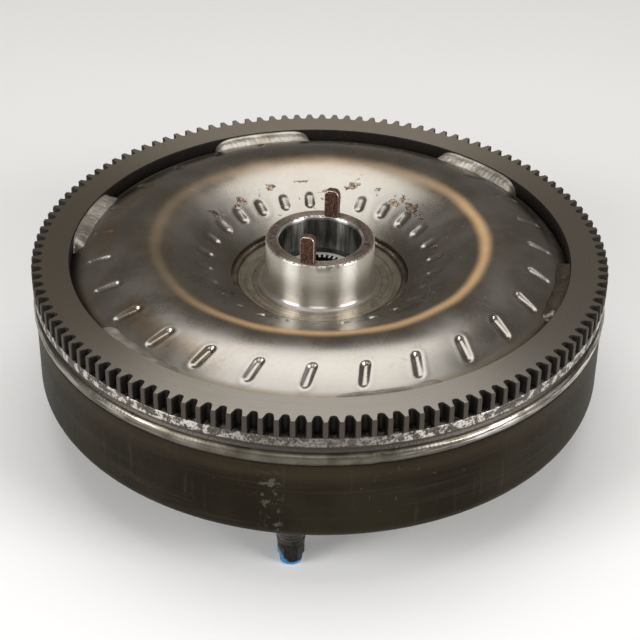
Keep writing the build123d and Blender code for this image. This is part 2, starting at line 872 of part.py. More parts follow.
# ---------------------------------------------------------------- one-way clutch
with BuildPart() as clutch_outer_race:
    with BuildSketch(Plane.XY.offset(clutch_low)):
        Circle(40.0)
        Circle(26.2, mode=Mode.SUBTRACT)
        with PolarLocations(0, clutch_rollers_count):
            with Locations((clutch_roller_circle, 0)):
                Circle(clutch_roller_radius + 0.1, mode=Mode.SUBTRACT)
            with Locations((28.6, 4.8)):
                Rectangle(5.8, 9.6, mode=Mode.SUBTRACT)
    extrude(amount=clutch_high - clutch_low)
clutch_outer_race.part.label = "clutch_outer_race"
export_step(clutch_outer_race.part, "parts/clutch_outer_race.step")

with BuildPart() as clutch_rollers:
    with BuildSketch(Plane.XY.offset(clutch_low + 0.3)):
        with PolarLocations(clutch_roller_circle, clutch_rollers_count):
            Circle(clutch_roller_radius)
    extrude(amount=clutch_high - clutch_low - 0.6)
clutch_rollers.part.label = "clutch_rollers"
export_step(clutch_rollers.part, "parts/clutch_rollers.step")

leaf_folds = 6
leaf_start = 3.85
leaf_step = 0.9
with BuildSketch() as leaf_section:
    with BuildLine():
        Polyline(*[
            (27.3 if fold % 2 == 0 else 30.7, leaf_start + leaf_step * fold)
            for fold in range(leaf_folds + 1)
        ])
    trace(line_width=0.25)
with BuildPart() as clutch_springs:
    with BuildSketch(Plane.XY.offset(clutch_low + 1.5)):
        with PolarLocations(0, clutch_rollers_count):
            add(leaf_section.sketch)
    extrude(amount=clutch_high - clutch_low - 3.0)
clutch_springs.part.label = "clutch_springs"
export_step(clutch_springs.part, "parts/clutch_springs.step")

clutch_plate_lower = flat_ring(25.9, 40.0, 61.5, 62.5)
clutch_plate_lower.part.label = "clutch_plate_lower"
export_step(clutch_plate_lower.part, "parts/clutch_plate_lower.step")

clutch_plate_upper = flat_ring(25.9, 40.0, 74.25, 75.2)
clutch_plate_upper.part.label = "clutch_plate_upper"
export_step(clutch_plate_upper.part, "parts/clutch_plate_upper.step")

# ---------------------------------------------------------------- stator inner race
stator_inner_race_blank = turned([
    (stator_spline_minor, 58.2),
    (22.6, 58.2),
    (22.6, 61.6),
    (inner_race_radius, 61.6),
    (inner_race_radius, 75.1),
    (inner_race_sleeve_radius, 75.1),
    (inner_race_sleeve_radius, inner_race_top - 0.8),
    (inner_race_sleeve_radius - 0.8, inner_race_top),
    (stator_spline_minor, inner_race_top),
])
stator_groove_width = 1.45
with BuildPart() as stator_inner_race:
    add(stator_inner_race_blank.part)
    with BuildSketch(Plane.XY.offset(55)):
        with PolarLocations(stator_spline_major - 2.0, stator_spline_teeth):
            Rectangle(4.0, stator_groove_width)
    extrude(amount=40, mode=Mode.SUBTRACT)
stator_inner_race.part.label = "stator_inner_race"
export_step(stator_inner_race.part, "parts/stator_inner_race.step")

# ---------------------------------------------------------------- pump-side thrust bearing
pump_bearing_race_upper = flat_ring(25.5, 37.0, 78.45, 79.45)
pump_bearing_race_upper.part.label = "pump_bearing_race_upper"
export_step(pump_bearing_race_upper.part, "parts/pump_bearing_race_upper.step")

pump_bearing_race_lower = flat_ring(23.4, 37.0, 75.25, 76.25)
pump_bearing_race_lower.part.label = "pump_bearing_race_lower"
export_step(pump_bearing_race_lower.part, "parts/pump_bearing_race_lower.step")

pump_bearing_cage = thrust_cage(26.5, 34.5, 76.6, 78.1, 24, 6.2, 2.3)
pump_bearing_cage.part.label = "pump_bearing_cage"
export_step(pump_bearing_cage.part, "parts/pump_bearing_cage.step")

pump_bearing_rollers = thrust_rollers(30.5, 77.35, 24, 6.0, 1.05)
pump_bearing_rollers.part.label = "pump_bearing_rollers"
export_step(pump_bearing_rollers.part, "parts/pump_bearing_rollers.step")

# ---------------------------------------------------------------- turbine-side thrust bearing
turbine_bearing_race_lower = flat_ring(23.2, 31.0, 57.05, 58.05)
turbine_bearing_race_lower.part.label = "turbine_bearing_race_lower"
export_step(turbine_bearing_race_lower.part, "parts/turbine_bearing_race_lower.step")

turbine_bearing_race_upper = flat_ring(23.4, 32.0, 60.42, 61.42)
turbine_bearing_race_upper.part.label = "turbine_bearing_race_upper"
export_step(turbine_bearing_race_upper.part, "parts/turbine_bearing_race_upper.step")

turbine_bearing_cage = thrust_cage(23.6, 30.6, 58.6, 59.9, 20, 5.4, 2.5)
turbine_bearing_cage.part.label = "turbine_bearing_cage"
export_step(turbine_bearing_cage.part, "parts/turbine_bearing_cage.step")

turbine_bearing_rollers = thrust_rollers(27.1, 59.25, 20, 5.2, 1.15)
turbine_bearing_rollers.part.label = "turbine_bearing_rollers"
export_step(turbine_bearing_rollers.part, "parts/turbine_bearing_rollers.step")
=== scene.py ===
import json
import math

import bmesh
import bpy
import numpy as np
from mathutils import Matrix, Vector, noise


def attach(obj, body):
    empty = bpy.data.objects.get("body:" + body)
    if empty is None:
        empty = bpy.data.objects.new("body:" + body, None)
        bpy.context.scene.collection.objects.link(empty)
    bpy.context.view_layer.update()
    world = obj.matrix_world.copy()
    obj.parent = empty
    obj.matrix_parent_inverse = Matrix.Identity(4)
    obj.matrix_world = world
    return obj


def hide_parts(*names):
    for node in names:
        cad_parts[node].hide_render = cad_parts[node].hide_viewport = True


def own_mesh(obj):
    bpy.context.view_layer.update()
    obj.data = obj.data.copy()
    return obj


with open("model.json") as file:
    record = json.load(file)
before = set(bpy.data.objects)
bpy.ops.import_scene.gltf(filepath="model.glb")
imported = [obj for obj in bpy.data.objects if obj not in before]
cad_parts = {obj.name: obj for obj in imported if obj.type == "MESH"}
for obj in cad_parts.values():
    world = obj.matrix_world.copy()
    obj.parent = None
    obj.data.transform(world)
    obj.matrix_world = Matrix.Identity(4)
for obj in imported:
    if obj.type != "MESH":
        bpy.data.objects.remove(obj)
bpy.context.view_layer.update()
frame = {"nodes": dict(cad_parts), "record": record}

MM = 0.001
VANES = 27
LUG_COUNT = 3
LUG_CIRCLE = 141.9
LUG_ANGLE = -96.0
nodes = frame["nodes"]


# ------------------------------------------------------------------ mesh helpers
def new_piece(name, verts, faces, body, node, smooth=True):
    """A mesh object in the row frame that rides on a body and stands for a CAD node."""
    mesh = bpy.data.meshes.new(name)
    mesh.from_pydata([tuple(v) for v in verts], [], [tuple(f) for f in faces])
    mesh.update()
    mesh.polygons.foreach_set("use_smooth", [smooth] * len(mesh.polygons))
    piece = bpy.data.objects.new(name, mesh)
    bpy.context.scene.collection.objects.link(piece)
    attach(piece, body)
    if node:
        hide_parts(node)
    return piece


def spline_curve(points, step):
    """A natural cubic curve through (radius, height) points, sampled at an even step."""
    pts = np.array(points, float)
    chord = np.concatenate([[0], np.cumsum(np.hypot(*np.diff(pts, axis=0).T))])
    count = len(pts)
    system = np.zeros((count, count))
    right = np.zeros((count, 2))
    system[0, 0] = system[-1, -1] = 1
    gap = np.diff(chord)
    for i in range(1, count - 1):
        system[i, i - 1:i + 2] = gap[i - 1], 2 * (gap[i - 1] + gap[i]), gap[i]
        slope_after = (pts[i + 1] - pts[i]) / gap[i]
        slope_before = (pts[i] - pts[i - 1]) / gap[i - 1]
        right[i] = 6 * (slope_after - slope_before)
    bend = np.linalg.solve(system, right)
    where = np.linspace(0, chord[-1], max(2, int(chord[-1] / step)))
    out = []
    for t in where:
        i = min(int(np.searchsorted(chord, t, "right")) - 1, count - 2)
        h = gap[i]
        a = (chord[i + 1] - t) / h
        b = (t - chord[i]) / h
        curve = (a ** 3 - a) * bend[i] + (b ** 3 - b) * bend[i + 1]
        out.append(a * pts[i] + b * pts[i + 1] + curve * h * h / 6)
    return [tuple(p) for p in out]


def corner(points, radius, steps=4):
    """A polyline of (radius, height) points with every inner corner rounded."""
    out = [points[0]]
    for before, here, after in zip(points, points[1:], points[2:]):
        p = np.array(here, float)
        to_before = np.array(before, float) - p
        to_after = np.array(after, float) - p
        cut = min(radius, 0.45 * np.hypot(*to_before), 0.45 * np.hypot(*to_after))
        start = p + to_before / np.hypot(*to_before) * cut
        end = p + to_after / np.hypot(*to_after) * cut
        for k in range(steps + 1):
            t = k / steps
            out.append(tuple((1 - t) ** 2 * start + 2 * t * (1 - t) * p + t * t * end))
    out.append(points[-1])
    return out


def lathe_grid(profile, segments, start=0.0, arc=360.0):
    """Radius, height and angle arrays of a profile turned about the axis."""
    prof = np.array(profile, float)
    full = abs(arc - 360) < 1e-6
    angles = np.radians(start + arc * np.arange(segments) / (segments if full else segments - 1))
    radius = np.repeat(prof[:, 0][:, None], segments, 1)
    height = np.repeat(prof[:, 1][:, None], segments, 1)
    angle = np.repeat(angles[None, :], len(prof), 0)
    return radius, height, angle, full


def lathe_piece(name, grid, body, node, closed_profile=True):
    """Builds the mesh of a turned grid; millimetres in, metres out."""
    radius, height, angle, full = grid
    rows, cols = radius.shape
    verts = np.stack([radius * np.cos(angle), radius * np.sin(angle), height], -1).reshape(-1, 3) * MM
    row = np.arange(rows if closed_profile else rows - 1)
    col = np.arange(cols if full else cols - 1)
    r0, c0 = np.meshgrid(row, col, indexing="ij")
    r1 = (r0 + 1) % rows
    c1 = (c0 + 1) % cols
    faces = np.stack([r0 * cols + c0, r0 * cols + c1, r1 * cols + c1, r1 * cols + c0], -1)
    faces = faces.reshape(-1, 4)
    extra = []
    if not full and closed_profile:
        extra = [list(range(0, rows * cols, cols))[::-1], list(range(cols - 1, rows * cols, cols))]
    piece = new_piece(name, verts, faces.tolist() + extra, body, node)
    clean_up(piece)
    return piece


def clean_up(piece):
    """Merges coincident points and turns every face outward."""
    work = bmesh.new()
    work.from_mesh(piece.data)
    bmesh.ops.remove_doubles(work, verts=work.verts, dist=1e-6)
    bmesh.ops.recalc_face_normals(work, faces=work.faces)
    work.to_mesh(piece.data)
    work.free()


def sharpen(piece, degrees):
    """Keeps edges sharper than an angle crisp under smooth shading."""
    piece.data.set_sharp_from_angle(angle=math.radians(degrees))


def wrap(degrees):
    return (degrees + 180) % 360 - 180


def rough(x, y, z, scale, seed=0.0):
    """Smooth repeatable noise, about -1 to 1."""
    return noise.noise(Vector((x * scale + seed, y * scale - seed, z * scale + 2 * seed)))


# ------------------------------------------------------------------ node helpers
class Graph:
    """Short calls for building one material's nodes."""

    def __init__(self, name):
        self.mat = bpy.data.materials.new(name)
        self.mat.use_nodes = True
        self.tree = self.mat.node_tree
        self.bsdf = self.tree.nodes["Principled BSDF"]
        coords = self.tree.nodes.new("ShaderNodeTexCoord").outputs["Object"]
        self.pos = self.vec("MULTIPLY", coords, (1000, 1000, 1000))
        xyz = self.tree.nodes.new("ShaderNodeSeparateXYZ")
        self.tree.links.new(self.pos, xyz.inputs[0])
        self.x, self.y, self.z = xyz.outputs
        self.r = self.math("SQRT", self.add(self.mul(self.x, self.x), self.mul(self.y, self.y)))
        normal = self.tree.nodes.new("ShaderNodeNewGeometry").outputs["Normal"]
        split = self.tree.nodes.new("ShaderNodeSeparateXYZ")
        self.tree.links.new(normal, split.inputs[0])
        self.up = split.outputs[2]

    def put(self, socket, value):
        if hasattr(value, "links"):
            self.tree.links.new(value, socket)
        else:
            if socket.type == "RGBA" and len(value) == 3:
                value = (*value, 1)
            socket.default_value = value

    def math(self, kind, a, b=0.0, clamp=False):
        node = self.tree.nodes.new("ShaderNodeMath")
        node.operation = kind
        node.use_clamp = clamp
        self.put(node.inputs[0], a)
        self.put(node.inputs[1], b)
        return node.outputs[0]

    def add(self, a, b):
        return self.math("ADD", a, b)

    def sub(self, a, b):
        return self.math("SUBTRACT", a, b)

    def mul(self, a, b):
        return self.math("MULTIPLY", a, b)

    def vec(self, kind, a, b):
        node = self.tree.nodes.new("ShaderNodeVectorMath")
        node.operation = kind
        self.put(node.inputs[0], a)
        self.put(node.inputs[1], b)
        return node.outputs[0]

    def join(self, x, y, z):
        node = self.tree.nodes.new("ShaderNodeCombineXYZ")
        for socket, value in zip(node.inputs, (x, y, z)):
            self.put(socket, value)
        return node.outputs[0]

    def noise(self, scale, detail=4.0, where=None, rough=0.55):
        node = self.tree.nodes.new("ShaderNodeTexNoise")
        self.put(node.inputs["Vector"], where if where is not None else self.pos)
        node.inputs["Scale"].default_value = scale
        node.inputs["Detail"].default_value = detail
        node.inputs["Roughness"].default_value = rough
        return node.outputs["Fac"]

    def step(self, value, low, high):
        """0 below low, 1 above high, smooth between; works downwards when low > high."""
        node = self.tree.nodes.new("ShaderNodeMapRange")
        node.interpolation_type = "SMOOTHSTEP"
        self.put(node.inputs["Value"], value)
        for key, number in zip(
            ("From Min", "From Max", "To Min", "To Max"),
            (min(low, high), max(low, high), float(low > high), float(low <= high)),
        ):
            node.inputs[key].default_value = number
        return node.outputs["Result"]

    def band(self, value, low, high, soft):
        """1 inside low..high with soft shoulders."""
        return self.mul(self.step(value, low - soft, low + soft), self.step(value, high + soft, high - soft))

    def mix(self, share, a, b):
        node = self.tree.nodes.new("ShaderNodeMix")
        node.data_type = "RGBA"
        self.put(node.inputs[0], share)
        self.put(node.inputs[6], a)
        self.put(node.inputs[7], b)
        return node.outputs[2]

    def blend(self, share, a, b):
        return self.add(self.mul(self.sub(1.0, share), a), self.mul(share, b))

    def rings(self, scale_round, scale_across, detail=3.0):
        """Turning marks: noise drawn out around the axis."""
        where = self.join(
            self.mul(self.x, scale_round), self.mul(self.y, scale_round),
            self.mul(self.add(self.r, self.mul(self.z, 1.3)), scale_across),
        )
        return self.noise(1.0, detail, where)

    def scratches(self, seed, length, density):
        """Fine straight scratches in one direction, 0 to 1."""
        turn = self.tree.nodes.new("ShaderNodeVectorRotate")
        turn.rotation_type = "Z_AXIS"
        self.put(turn.inputs["Vector"], self.pos)
        turn.inputs["Angle"].default_value = seed
        stretched = self.vec("MULTIPLY", turn.outputs[0], (1.0 / length, 3.0, 1.0 / length))
        fine = self.noise(1.0, 2.0, stretched)
        patch = self.noise(0.06, 2.0)
        return self.mul(self.step(fine, 1 - density, 1 - density + 0.03), self.step(patch, 0.5, 0.6))

    def turned_tangent(self):
        """Draws highlights out along the turning marks."""
        tangent = self.tree.nodes.new("ShaderNodeTangent")
        tangent.direction_type = "RADIAL"
        tangent.axis = "Z"
        self.tree.links.new(tangent.outputs[0], self.bsdf.inputs["Tangent"])

    def finish(self, colour, roughness, metallic=1.0, bumps=(), **more):
        self.put(self.bsdf.inputs["Base Color"], colour)
        self.put(self.bsdf.inputs["Roughness"], roughness)
        self.put(self.bsdf.inputs["Metallic"], metallic)
        for key, value in more.items():
            self.put(self.bsdf.inputs[key.replace("_", " ")], value)
        last = None
        for height, depth in bumps:
            bump = self.tree.nodes.new("ShaderNodeBump")
            bump.inputs["Distance"].default_value = depth * MM
            bump.inputs["Strength"].default_value = 1.0
            self.put(bump.inputs["Height"], height)
            if last is not None:
                self.tree.links.new(last, bump.inputs["Normal"])
            last = bump.outputs[0]
        if last is not None:
            self.tree.links.new(last, self.bsdf.inputs["Normal"])
        return self.mat


def dress(piece, material):
    piece.data.materials.clear()
    piece.data.materials.append(material)


# ------------------------------------------------------------------ materials
def shell_material():
    g = Graph("bronze_shell")
    smear = g.noise(0.035, 5.0)
    fine = g.noise(0.5, 6.0)
    base = g.mix(g.step(smear, 0.3, 0.7), (0.315, 0.29, 0.255), (0.375, 0.355, 0.325))
    base = g.mix(g.mul(g.step(fine, 0.5, 0.8), 0.08), base, (0.20, 0.17, 0.13))
    wave = g.mul(g.sub(g.noise(0.018, 2.0), 0.5), 5.0)
    radius = g.add(g.r, wave)
    # painted light: the heat-tint band is weighted up towards the front right, where the lamps fall, on top
    # of the real heat tint
    front = g.add(0.22, g.mul(g.step(g.sub(g.mul(g.x, 0.9), g.y), -50, 70), 0.78))
    tint = g.mul(g.band(radius, 89.5, 95.5, 2.8), front)
    halo = g.mul(g.band(radius, 84.0, 100.0, 7.0), 0.45)
    base = g.mix(halo, base, (0.36, 0.28, 0.19))
    base = g.mix(g.mul(tint, 0.95), base, (0.90, 0.58, 0.30))
    outer_heat = g.mul(g.step(g.noise(0.03, 3.0), 0.45, 0.62), g.band(g.r, 116.0, 128.0, 5.0))
    outer_heat = g.mul(outer_heat, g.step(g.x, -40.0, -90.0))
    base = g.mix(g.mul(outer_heat, 0.5), base, (0.36, 0.23, 0.13))
    # painted shade: the shell's shoulder next to the ring gear is darkened
    painted_shade_shoulder = g.step(g.r, 131.0, 134.5)
    base = g.mix(g.mul(painted_shade_shoulder, 0.75), base, (0.27, 0.225, 0.165))
    inner = g.step(g.r, 60.0, 52.0)
    base = g.mix(g.mul(inner, 0.5), base, (0.24, 0.225, 0.18))
    chip_noise = g.noise(0.22, 3.0)
    chip_place = g.mul(g.band(g.r, 60.0, 82.0, 6.0), g.step(g.noise(0.03, 1.0), 0.42, 0.55))
    chips = g.mul(g.step(chip_noise, 0.66, 0.69), chip_place)
    lost_coat = g.mul(g.step(g.noise(0.085, 4.0), 0.565, 0.585), g.band(g.r, 70.0, 77.0, 1.0))
    lost_coat = g.mul(lost_coat, g.step(g.y, 25.0, 40.0))
    chips = g.math("MAXIMUM", chips, lost_coat)
    base = g.mix(chips, base, g.mix(g.step(fine, 0.4, 0.6), (0.32, 0.215, 0.155), (0.08, 0.06, 0.045)))
    marks = g.math("MAXIMUM", g.scratches(0.5, 14.0, 0.27), g.scratches(2.1, 20.0, 0.26))
    base = g.mix(g.mul(marks, 0.5), base, (0.62, 0.58, 0.52))
    ledge = g.step(g.r, 147.0, 150.0)
    pits = g.noise(0.9, 5.0)
    patch = g.mul(g.step(g.noise(0.22, 6.0), 0.48, 0.56), g.step(g.z, 89.0, 90.5))
    # pale ground-metal patches, thinned out at the front and full at the left and right: partly real ground
    # metal, partly painted highlight from the side lamps
    patch = g.mul(patch, g.blend(g.step(g.math("ABSOLUTE", g.add(g.x, 5.0)), 20.0, 60.0), 0.25, 1.0))
    ledge_colour = g.mix(g.step(pits, 0.4, 0.62), (0.075, 0.067, 0.055), (0.15, 0.137, 0.115))
    ledge_colour = g.mix(g.mul(patch, g.step(pits, 0.35, 0.5)), ledge_colour, (0.62, 0.59, 0.54))
    dots = g.step(g.noise(0.7, 2.0), 0.66, 0.70)
    ledge_colour = g.mix(g.mul(dots, 0.7), ledge_colour, (0.42, 0.37, 0.30))
    groove = g.mul(ledge, g.step(g.z, 89.6, 88.6))
    ledge_colour = g.mix(groove, ledge_colour, (0.07, 0.062, 0.052))
    base = g.mix(ledge, base, ledge_colour)
    grain = g.blend(g.step(smear, 0.3, 0.7), 0.24, 0.33)
    grain = g.add(grain, g.mul(g.step(fine, 0.4, 0.8), 0.03))
    grain = g.add(grain, g.mul(painted_shade_shoulder, 0.12))
    grain = g.add(grain, g.mul(tint, 0.12))
    grain = g.blend(ledge, grain, 0.42)
    dents = g.noise(0.055, 2.0)
    metal = g.sub(1.0, g.mul(tint, 0.40))
    return g.finish(base, grain, metal, bumps=(
        (dents, 0.10), (g.mul(marks, -1.0), 0.02), (g.mul(chips, -1.0), 0.25),
        (g.mul(pits, ledge), 0.3),
    ))


def gear_material():
    g = Graph("ring_gear_steel")
    turning = g.rings(0.02, 1.6, 5.0)
    smear = g.noise(0.02, 4.0)
    fine = g.noise(1.2, 4.0)
    # painted light: the top face is lighter towards the front and right, where the lamps fall
    painted_front_light = g.step(g.sub(g.mul(g.x, 0.5), g.y), -150, 170)
    top = g.mix(painted_front_light, (0.37, 0.325, 0.265), (0.475, 0.44, 0.39))
    top = g.mix(g.mul(g.step(turning, 0.45, 0.7), 0.16), top, (0.22, 0.19, 0.155))
    top = g.mix(g.mul(g.step(smear, 0.5, 0.7), 0.3), top, (0.38, 0.31, 0.235))
    # painted shade: tooth flanks and roots are near black while the upward faces are light
    side = g.mix(g.step(fine, 0.4, 0.7), (0.010, 0.008, 0.006), (0.026, 0.021, 0.017))
    flat = g.step(g.up, 0.75, 0.95)
    colour = g.mix(flat, side, top)
    # painted light on the outer tip faces, a little lighter than the flanks
    painted_tip_light = g.mul(g.step(g.r, 160.6, 161.0), g.sub(1.0, flat))
    colour = g.mix(g.mul(painted_tip_light, 0.8), colour, (0.075, 0.062, 0.05))
    specks = g.step(g.noise(1.1, 2.0), 0.70, 0.74)
    colour = g.mix(specks, colour, (0.10, 0.06, 0.04))
    grain = g.blend(flat, 0.6, g.blend(turning, 0.34, 0.44))
    g.turned_tangent()
    return g.finish(colour, grain, g.blend(flat, 0.6, 1.0), bumps=((turning, 0.010), (fine, 0.012)),
                    Anisotropic=g.mul(flat, 0.75), Anisotropic_Rotation=0.25)


def cover_material():
    g = Graph("dark_cover")
    smear = g.noise(0.022, 5.0)
    streak = g.noise(1.0, 4.0, g.join(g.mul(g.x, 0.35), g.mul(g.y, 0.35), g.mul(g.z, 0.03)))
    level = g.rings(0.012, 0.35, 4.0)
    fine = g.noise(0.8, 5.0)
    colour = g.mix(g.step(smear, 0.35, 0.65), (0.012, 0.0092, 0.0045), (0.021, 0.0168, 0.0092))
    colour = g.mix(g.mul(g.step(level, 0.5, 0.72), 0.5), colour, (0.030, 0.026, 0.018))
    colour = g.mix(g.mul(g.step(streak, 0.58, 0.75), 0.4), colour, (0.040, 0.034, 0.024))
    heat = g.band(g.z, 68.0, 76.0, 5.0)
    side = g.step(g.r, 158.0, 160.0)
    colour = g.mix(g.mul(g.mul(heat, side), 0.45), colour, (0.045, 0.034, 0.020))
    scratch = g.scratches(1.2, 9.0, 0.26)
    colour = g.mix(g.mul(scratch, 0.7), colour, (0.32, 0.29, 0.25))
    rust = g.step(g.noise(0.25, 4.0), 0.68, 0.76)
    colour = g.mix(g.mul(rust, 0.6), colour, (0.11, 0.055, 0.025))
    scuff_height = g.mul(g.band(g.z, 33.0, 70.0, 5.0), g.step(g.y, 0, -1))
    scuff_place = g.mul(g.band(g.x, -31.0, -20.0, 2.5), scuff_height)
    scuff = g.mul(g.step(g.noise(0.3, 6.0), 0.5, 0.62), g.mul(scuff_place, side))
    colour = g.mix(g.mul(scuff, 0.5), colour, (0.13, 0.12, 0.10))
    grain = g.blend(smear, 0.38, 0.54)
    grain = g.add(grain, g.mul(g.step(fine, 0.5, 0.7), 0.1))
    return g.finish(colour, grain, 0.12, bumps=((fine, 0.02), (g.noise(0.08, 2.0), 0.1)),
                    Specular_IOR_Level=0.05)


def weld_material(name, bright, dark, tone_scale=0.5, metallic=1.0):
    g = Graph(name)
    tone = g.noise(tone_scale, 5.0)
    long_tone = g.noise(0.03, 3.0)
    colour = g.mix(g.step(tone, 0.35, 0.65), dark, bright)
    colour = g.mix(g.mul(g.step(long_tone, 0.45, 0.62), 0.6), colour, (0.11, 0.095, 0.08))
    tint = g.step(g.noise(0.12, 3.0), 0.6, 0.7)
    colour = g.mix(g.mul(tint, 0.35), colour, (0.30, 0.20, 0.12))
    return g.finish(colour, g.blend(tone, 0.26, 0.42), metallic, bumps=((g.noise(1.6, 4.0), 0.05),))


def closure_material():
    g = Graph("closure_bead_metal")
    tone = g.noise(0.10, 4.0)
    streak = g.noise(1.0, 4.0, g.join(g.mul(g.x, 0.04), g.mul(g.y, 0.04), g.mul(g.z, 0.9)))
    colour = g.mix(g.step(tone, 0.3, 0.7), (0.085, 0.075, 0.056), (0.16, 0.145, 0.115))
    # painted highlight: light streaks on the bead's upper part at the left and right sides only, brighter on
    # the right; they also lower the roughness there
    painted_highlight_sides = g.step(g.math("ABSOLUTE", g.add(g.x, 8.0)), 32.0, 95.0)
    painted_highlight_streaks = g.mul(g.step(streak, 0.44, 0.60), g.mul(painted_highlight_sides, g.band(g.z, 80.0, 84.0, 1.2)))
    painted_highlight_colour = g.mix(g.step(g.x, -60, 60), (0.36, 0.345, 0.31), (0.88, 0.86, 0.81))
    colour = g.mix(g.mul(painted_highlight_streaks, 0.8), colour, painted_highlight_colour)
    grain = g.blend(painted_highlight_streaks, g.blend(tone, 0.34, 0.44), 0.24)
    return g.finish(colour, grain, 1.0, bumps=((streak, 0.03), (g.noise(1.6, 4.0), 0.02)))


def hub_material():
    g = Graph("ground_hub")
    turning = g.rings(0.05, 3.5, 5.0)
    fine = g.noise(0.9, 6.0)
    colour = g.mix(g.step(turning, 0.4, 0.65), (0.78, 0.765, 0.72), (0.92, 0.905, 0.865))
    flange = g.step(g.r, 31.0, 32.0)
    dull = g.mix(g.step(g.noise(0.12, 5.0), 0.35, 0.65), (0.42, 0.36, 0.29), (0.54, 0.475, 0.39))
    dull = g.mix(g.mul(g.step(g.rings(0.02, 0.9, 3.0), 0.45, 0.6), 0.5), dull, (0.20, 0.17, 0.13))
    # painted highlight: a lighter grey ring on the flange next to the hub's foot fillet
    dull = g.mix(g.step(g.r, 35.5, 32.5), dull, (0.50, 0.475, 0.43))
    colour = g.mix(flange, colour, dull)
    # darker inside the bore below the rim, with vertical drag streaks
    inside = g.mul(g.step(g.r, 24.6, 23.6), g.step(g.z, 110.5, 109.5))
    drag = g.noise(1.0, 5.0, g.join(g.mul(g.x, 0.5), g.mul(g.y, 0.5), g.mul(g.z, 0.04)))
    worn = g.mix(g.step(drag, 0.40, 0.65), (0.15, 0.14, 0.125), (0.38, 0.37, 0.345))
    colour = g.mix(inside, colour, worn)
    top = g.step(g.z, 111.2, 111.8)
    speckle = g.step(g.noise(0.85, 6.0), 0.44, 0.60)
    rust = g.mix(g.noise(1.4, 4.0), (0.10, 0.062, 0.045), (0.25, 0.19, 0.15))
    colour = g.mix(g.mul(top, g.band(g.r, 24.6, 29.8, 0.4)), colour, (0.33, 0.285, 0.235))
    colour = g.mix(g.mul(top, speckle), colour, rust)
    splash = g.mul(g.step(g.noise(0.12, 4.0), 0.56, 0.66), g.step(g.z, 106.5, 111.5))
    colour = g.mix(g.mul(splash, 0.55), colour, rust)
    foot_rust = g.mul(g.step(g.noise(0.5, 4.0), 0.60, 0.66), g.band(g.r, 33.0, 44.0, 3.0))
    colour = g.mix(g.mul(foot_rust, 0.6), colour, (0.09, 0.065, 0.045))
    grain = g.blend(flange, g.blend(turning, 0.26, 0.36), 0.40)
    grain = g.blend(g.mul(top, speckle), grain, 0.68)
    metal = g.sub(1.0, g.mul(g.mul(top, speckle), 0.7))
    g.turned_tangent()
    return g.finish(colour, grain, metal, bumps=((turning, 0.008), (fine, 0.008), (g.mul(top, fine), 0.06)),
                    Anisotropic=g.blend(flange, 0.9, 0.5), Anisotropic_Rotation=0.25)


def tang_materials():
    g = Graph("tang_rust")
    tone = g.noise(0.9, 6.0)
    colour = g.mix(g.step(tone, 0.35, 0.65), (0.026, 0.012, 0.008), (0.135, 0.058, 0.034))
    pale = g.step(g.noise(1.3, 4.0), 0.58, 0.66)
    colour = g.mix(g.mul(pale, 0.7), colour, (0.42, 0.31, 0.24))
    rusty = g.finish(colour, g.blend(tone, 0.5, 0.75), 0.35, bumps=((g.noise(1.3, 5.0), 0.12),))
    e = Graph("tang_worn_edge")
    shine = e.noise(0.8, 4.0)
    colour = e.mix(e.step(shine, 0.45, 0.62), (0.66, 0.60, 0.54), (0.36, 0.20, 0.13))
    worn = e.finish(colour, 0.28, 1.0, bumps=((shine, 0.05),))
    return rusty, worn


def dark_steel(name, colour_a, colour_b, low, high, metallic=1.0, scale=0.6, bump=0.04):
    g = Graph(name)
    tone = g.noise(scale, 5.0)
    fine = g.noise(scale * 4, 4.0)
    colour = g.mix(g.step(tone, 0.35, 0.65), colour_a, colour_b)
    return g.finish(colour, g.blend(tone, low, high), metallic, bumps=((fine, bump),))


def lug_material():
    """Dark steel with blue paint at each lug's end, lower on one side than the other."""
    g = Graph("lug_dark_steel")
    tone = g.noise(0.5, 5.0)
    colour = g.mix(g.step(tone, 0.3, 0.7), (0.022, 0.019, 0.017), (0.045, 0.040, 0.036))
    turn = g.mul(g.math("ARCTAN2", g.y, g.x), float(LUG_COUNT))
    from_lug = g.add(turn, math.radians(-LUG_COUNT * LUG_ANGLE))
    sideways = g.mul(g.math("SINE", from_lug), LUG_CIRCLE / LUG_COUNT)
    paint_edge = g.add(g.add(g.z, g.mul(g.noise(0.25, 2.0), 5.0)), g.mul(sideways, 1.1))
    paint = g.mul(g.mul(g.step(paint_edge, 4.6, 2.4), 0.9), g.step(g.r, 100.0, 110.0))
    colour = g.mix(paint, colour, g.mix(tone, (0.012, 0.16, 0.36), (0.03, 0.26, 0.50)))
    metal = g.sub(1.0, paint)
    return g.finish(colour, g.blend(tone, 0.3, 0.42), metal, bumps=((g.noise(1.5, 4.0), 0.02),))


def blue_nylon():
    g = Graph("blue_nylon")
    tone = g.noise(0.6, 4.0)
    colour = g.mix(tone, (0.01, 0.14, 0.34), (0.03, 0.28, 0.55))
    return g.finish(colour, g.blend(tone, 0.35, 0.5), 0.0, bumps=((g.noise(2.5, 3.0), 0.03),))


def race_material():
    g = Graph("race_steel")
    tone = g.noise(0.5, 4.0)
    face = g.mix(tone, (0.84, 0.84, 0.82), (0.94, 0.94, 0.92))
    # painted light and shade: upward faces nearly white, all other faces near black
    flat = g.step(g.up, 0.80, 0.97)
    colour = g.mix(flat, (0.022, 0.020, 0.018), face)
    return g.finish(colour, g.blend(tone, 0.40, 0.50), 0.25, bumps=((tone, 0.02),))


def friction_paper():
    g = Graph("friction_paper")
    fibre = g.noise(1.0, 6.0, g.vec("MULTIPLY", g.pos, (2.0, 0.4, 1.0)))
    colour = g.mix(fibre, (0.17, 0.115, 0.06), (0.42, 0.31, 0.19))
    return g.finish(colour, 0.85, 0.0, bumps=((fibre, 0.12),))


